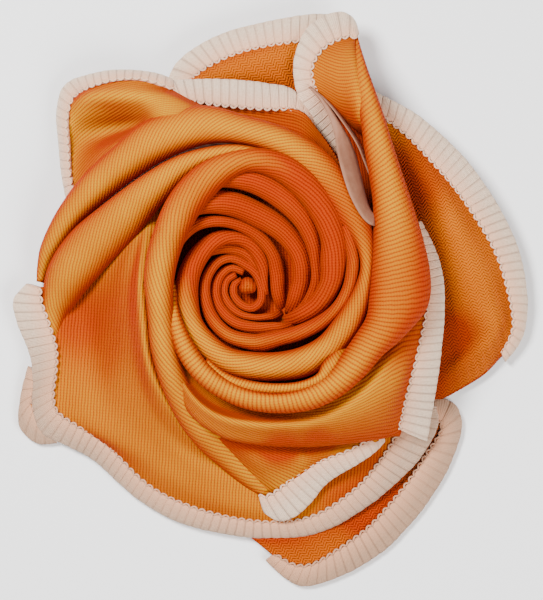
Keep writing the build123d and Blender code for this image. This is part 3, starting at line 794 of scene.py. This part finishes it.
class Shader:
    """A material's nodes, added by name."""

    def __init__(self, name, rough, sheen, sheen_colour, specular=0.3, gloss=(1, 1, 1, 1)):
        self.material = bpy.data.materials.new(name)
        self.material.use_nodes = True
        self.tree = self.material.node_tree
        self.main = self.tree.nodes["Principled BSDF"]
        self.main.inputs["Roughness"].default_value = rough
        self.main.inputs["Sheen Weight"].default_value = sheen
        self.main.inputs["Sheen Tint"].default_value = sheen_colour
        self.main.inputs["Sheen Roughness"].default_value = 0.4
        self.main.inputs["Specular IOR Level"].default_value = specular
        self.main.inputs["Specular Tint"].default_value = gloss

    def set(self, socket, value):
        if hasattr(value, "links"):
            self.tree.links.new(value, socket)
        else:
            socket.default_value = value

    def math(self, operation, *values):
        node = self.tree.nodes.new("ShaderNodeMath")
        node.operation = operation
        for socket, value in zip(node.inputs, values):
            self.set(socket, value)
        return node.outputs[0]

    def noise(self, vector, scale, detail):
        node = self.tree.nodes.new("ShaderNodeTexNoise")
        node.inputs["Scale"].default_value = scale
        node.inputs["Detail"].default_value = detail
        self.set(node.inputs["Vector"], vector)
        return node.outputs["Fac"]

    def mix(self, share, low, high):
        node = self.tree.nodes.new("ShaderNodeMix")
        node.data_type = "RGBA"
        self.set(node.inputs["Factor"], share)
        self.set(node.inputs["A"], low)
        self.set(node.inputs["B"], high)
        return node.outputs["Result"]

    def ramp(self, value, low, high):
        """0 below low and 1 above high."""
        node = self.tree.nodes.new("ShaderNodeMapRange")
        node.clamp = True
        self.set(node.inputs["Value"], value)
        node.inputs["From Min"].default_value = low
        node.inputs["From Max"].default_value = high
        return node.outputs["Result"]

    def split(self, vector):
        node = self.tree.nodes.new("ShaderNodeSeparateXYZ")
        self.tree.links.new(vector, node.inputs[0])
        return node.outputs

    def layer(self, name):
        """A UV layer of the mesh."""
        node = self.tree.nodes.new("ShaderNodeUVMap")
        node.uv_map = name
        return node.outputs["UV"]

    def knit_map(self):
        """The place in the knit, in millimetres, and its distances across and along the ribs."""
        place = self.layer("Knit")
        axes = self.split(place)
        return place, axes["X"], axes["Y"]

    def shade(self):
        """How deep in painted shade the cloth is."""
        return self.split(self.layer("Depth"))["X"]

    def painted_light_share(self):
        """Painted light: 1 where the cloth faces up, falling to 0 on its slopes and down in its folds, where
        painted shade takes over.
        """
        geometry = self.tree.nodes.new("ShaderNodeNewGeometry")
        level = self.ramp(self.split(geometry.outputs["Normal"])["Z"], 0.45, 1.0)
        return self.math("MULTIPLY", level, self.math("SUBTRACT", 1.0, self.shade()))

    def wave(self, value, pitch, phase=0.0):
        """A row of rounded ribs, 0 in the valleys and 1 on the crowns."""
        turned = self.math("MULTIPLY_ADD", value, math.pi / pitch, phase)
        return self.math("ABSOLUTE", self.math("SINE", turned))

    def bump(self, height, strength, distance):
        node = self.tree.nodes.new("ShaderNodeBump")
        node.inputs["Strength"].default_value = strength
        node.inputs["Distance"].default_value = distance
        self.tree.links.new(height, node.inputs["Height"])
        self.tree.links.new(node.outputs["Normal"], self.main.inputs["Normal"])

    def colour(self, value):
        self.set(self.main.inputs["Base Color"], value)


# The knit's oranges, with painted light and shade: on the ribs in the open and in painted shade, and between
# them in the open and in painted shade. The yellower crowns are a painted highlight where the cloth faces
# up, and the darker colours between the ribs are painted shade in the hollows between them.
ORANGE_CROWN = (0.54, 0.265, 0.0, 1)
REVERSE_CROWN = (0.62, 0.18, 0.0, 1)
ORANGE_DEEP = (0.37, 0.032, 0.0, 1)
ORANGE_MIDDLE = (0.46, 0.064, 0.0, 1)
ORANGE_VALLEY = (0.22, 0.005, 0.0, 1)
DYE_UNEVEN = 0.2
FUZZ = 0.3  # how strongly loose fibres break up the stitches


def orange_shader(name):
    return Shader(
        name, rough=0.6, sheen=0.05, sheen_colour=(1, 0.45, 0.05, 1), specular=0.06, gloss=(1, 0.6, 0.15, 1)
    )


def fuzzy(shader, place, height):
    """The stitches' height, broken up by loose fibres."""
    return shader.math("MULTIPLY_ADD", shader.noise(place, 6.0, 3), FUZZ, height)


def dye_with_painted_light(shader, place, patches, height, hollow, top, crown):
    """Colours the knit: dye that is uneven in patches, with painted light where the cloth faces up and
    painted shade on its slopes, in its folds and between its ribs. hollow and top are the heights between
    and on its ribs, and patches is the scale of its unevenness."""
    uneven = shader.math("SUBTRACT", shader.noise(place, patches, 3), 0.5)
    # painted light where the cloth faces up and painted shade on its slopes and in its folds, with uneven
    # dye
    facing = shader.math("MULTIPLY_ADD", uneven, DYE_UNEVEN, shader.painted_light_share())
    low = shader.mix(facing, ORANGE_VALLEY, ORANGE_MIDDLE)
    high = shader.mix(facing, ORANGE_DEEP, crown)
    shader.colour(shader.mix(shader.ramp(height, hollow, top), low, high))


def knit_face():
    """The face of the knit: fine ribs, each made of V-shaped stitches."""
    shader = orange_shader("orange_knit")
    place, u, v = shader.knit_map()
    u = shader.math("ADD", u, shader.math("MULTIPLY", shader.noise(place, 0.35, 2), 0.5))
    rib = shader.math("POWER", shader.wave(u, RIB), 0.7)
    stitch = shader.wave(v, COURSE, shader.math("MULTIPLY", rib, 1.2))
    height = fuzzy(shader, place, shader.math("MULTIPLY_ADD", stitch, 0.3, rib))
    shader.bump(height, 0.7, 0.00028)
    dye_with_painted_light(shader, place, 0.05, height, 0.35, 1.35, ORANGE_CROWN)
    return shader.material


ZIGZAG = 1.4  # half of the twill pattern's repeat
TWILL_ROW = 0.95
TWILL_FLOAT = 0.8


def knit_reverse():
    """The back of the knit: short floats that step from row to row, like a twill."""
    shader = orange_shader("orange_reverse")
    place, u, v = shader.knit_map()
    stepped = shader.math("MULTIPLY_ADD", shader.math("PINGPONG", u, ZIGZAG), 0.8, v)
    row = shader.math("POWER", shader.wave(stepped, TWILL_ROW), 0.6)
    floats = shader.math("POWER", shader.wave(u, TWILL_FLOAT, shader.math("MULTIPLY", v, 1.3)), 0.6)
    height = fuzzy(shader, place, shader.math("MULTIPLY_ADD", floats, 0.45, row))
    shader.bump(height, 0.8, 0.0005)
    dye_with_painted_light(shader, place, 0.06, height, 0.6, 1.35, REVERSE_CROWN)
    return shader.material


CREAM_DARK = (0.56, 0.37, 0.24, 1)
CREAM_LIGHT = (0.84, 0.64, 0.47, 1)
CREAM_GAP = (0.45, 0.27, 0.18, 1)
CREAM_SHADE = (0.32, 0.16, 0.085, 1)
CREAM_ROOT = (0.84, 0.38, 0.2, 1)
STRAND = 0.42  # pitch of the strands across the edging


def thread():
    """Soft cream overlock thread, laid across the edge, with a little of the cloth's colour at its root,
    painted shade in the gaps between its stitches, and painted shade on the lower parts of the shaded
    borders.
    """
    shader = Shader("cream_thread", rough=0.75, sheen=0.3, sheen_colour=(1, 0.95, 0.9, 1))
    place, u, v = shader.knit_map()
    uneven = shader.noise(place, 1.4, 3)
    gap = shader.wave(u, STITCH)
    strands = shader.math("MULTIPLY", shader.wave(u, STRAND), 0.35)
    height = shader.math("MULTIPLY_ADD", uneven, 0.9, strands)
    height = shader.math("ADD", height, shader.ramp(gap, 0.0, 0.35))
    shader.bump(height, 0.75, 0.0004)
    # painted shade: darker in the gaps between the stitches
    between = shader.math("MULTIPLY", shader.math("SUBTRACT", 1.0, shader.ramp(gap, 0.0, 0.6)), 0.55)
    root = shader.math("MULTIPLY", shader.math("SUBTRACT", 1.0, shader.ramp(v, 0.6, 5.6)), 0.55)
    cream = shader.mix(uneven, CREAM_DARK, CREAM_LIGHT)
    cream = shader.mix(between, cream, CREAM_GAP)
    cream = shader.mix(shader.shade(), cream, CREAM_SHADE)
    shader.colour(shader.mix(root, cream, CREAM_ROOT))
    return shader.material


# Painted shade and a painted reflection of the orange cloth on the white satin, uneven in patches.
SATIN_DARK = (0.22, 0.085, 0.045, 1)
SATIN_LIGHT = (0.36, 0.18, 0.11, 1)


def satin():
    """The label's ribbon, woven finely. Its white satin is painted dark orange-brown: painted shade of the
    folds round it, with a painted reflection of the orange cloth.
    """
    shader = Shader("label_satin", rough=0.5, sheen=0.05, sheen_colour=(1, 0.9, 0.8, 1), specular=0.2)
    place, u, v = shader.knit_map()
    weave = shader.math("MULTIPLY", shader.wave(u, 0.3), shader.wave(v, 0.22))
    shader.bump(weave, 0.25, 0.0001)
    shader.colour(shader.mix(shader.noise(place, 0.4, 2), SATIN_DARK, SATIN_LIGHT))
    return shader.material


# ---- camera, floor and light, in metres ---------------------------------------------------------

LENS = 200
SENSOR = 36
FRAMED_HEIGHT = 0.180  # height of the view at the level of the folds
FOLDS_LEVEL = 0.015
FLOOR_SIZE = 2.0
FLOOR_ALBEDO = 0.96
LIT_POINT = (0, 0, 0.02)


def camera():
    """A long lens straight above the towel."""
    data = bpy.data.cameras.new("camera")
    data.lens = LENS
    data.sensor_fit = "VERTICAL"
    data.sensor_height = SENSOR
    piece = bpy.data.objects.new("camera", data)
    bpy.context.collection.objects.link(piece)
    piece.location = (0.0007, 0, FOLDS_LEVEL + FRAMED_HEIGHT * LENS / SENSOR)
    bpy.context.scene.camera = piece


def stage():
    """A plain pale floor, just under the towel."""
    bpy.ops.mesh.primitive_plane_add(size=FLOOR_SIZE, location=(0, 0, -0.0002))
    floor = bpy.context.object
    floor.name = "floor"
    material = bpy.data.materials.new("floor")
    material.use_nodes = True
    shader = material.node_tree.nodes["Principled BSDF"]
    shader.inputs["Base Color"].default_value = (FLOOR_ALBEDO, FLOOR_ALBEDO, FLOOR_ALBEDO, 1)
    shader.inputs["Roughness"].default_value = 0.9
    floor.data.materials.append(material)


def lamp(name, place, size, power):
    """A round soft light, turned to the towel."""
    data = bpy.data.lights.new(name, "AREA")
    data.shape = "DISK"
    data.size = size
    data.energy = power
    piece = bpy.data.objects.new(name, data)
    bpy.context.collection.objects.link(piece)
    piece.location = place
    piece.rotation_euler = (Vector(LIT_POINT) - Vector(place)).to_track_quat("-Z", "Y").to_euler()


def lights():
    lamp("key", (-0.34, 0.3, 0.68), 0.28, 14)
    lamp("fill", (0.42, -0.32, 0.6), 0.5, 7.5)
    world = bpy.data.worlds.new("world")
    bpy.context.scene.world = world
    world.use_nodes = True
    world.node_tree.nodes["Background"].inputs["Color"].default_value = (1, 1, 1, 1)
    world.node_tree.nodes["Background"].inputs["Strength"].default_value = 0.3


camera()
stage()
lights()
towel = all_cloth()
border = all_edging()
care = label()
for piece in (towel, border, care):
    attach(piece, "root")
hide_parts(*[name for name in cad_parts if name.startswith("cloth")])
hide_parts(*[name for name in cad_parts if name.startswith("edging")])
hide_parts("care_label")
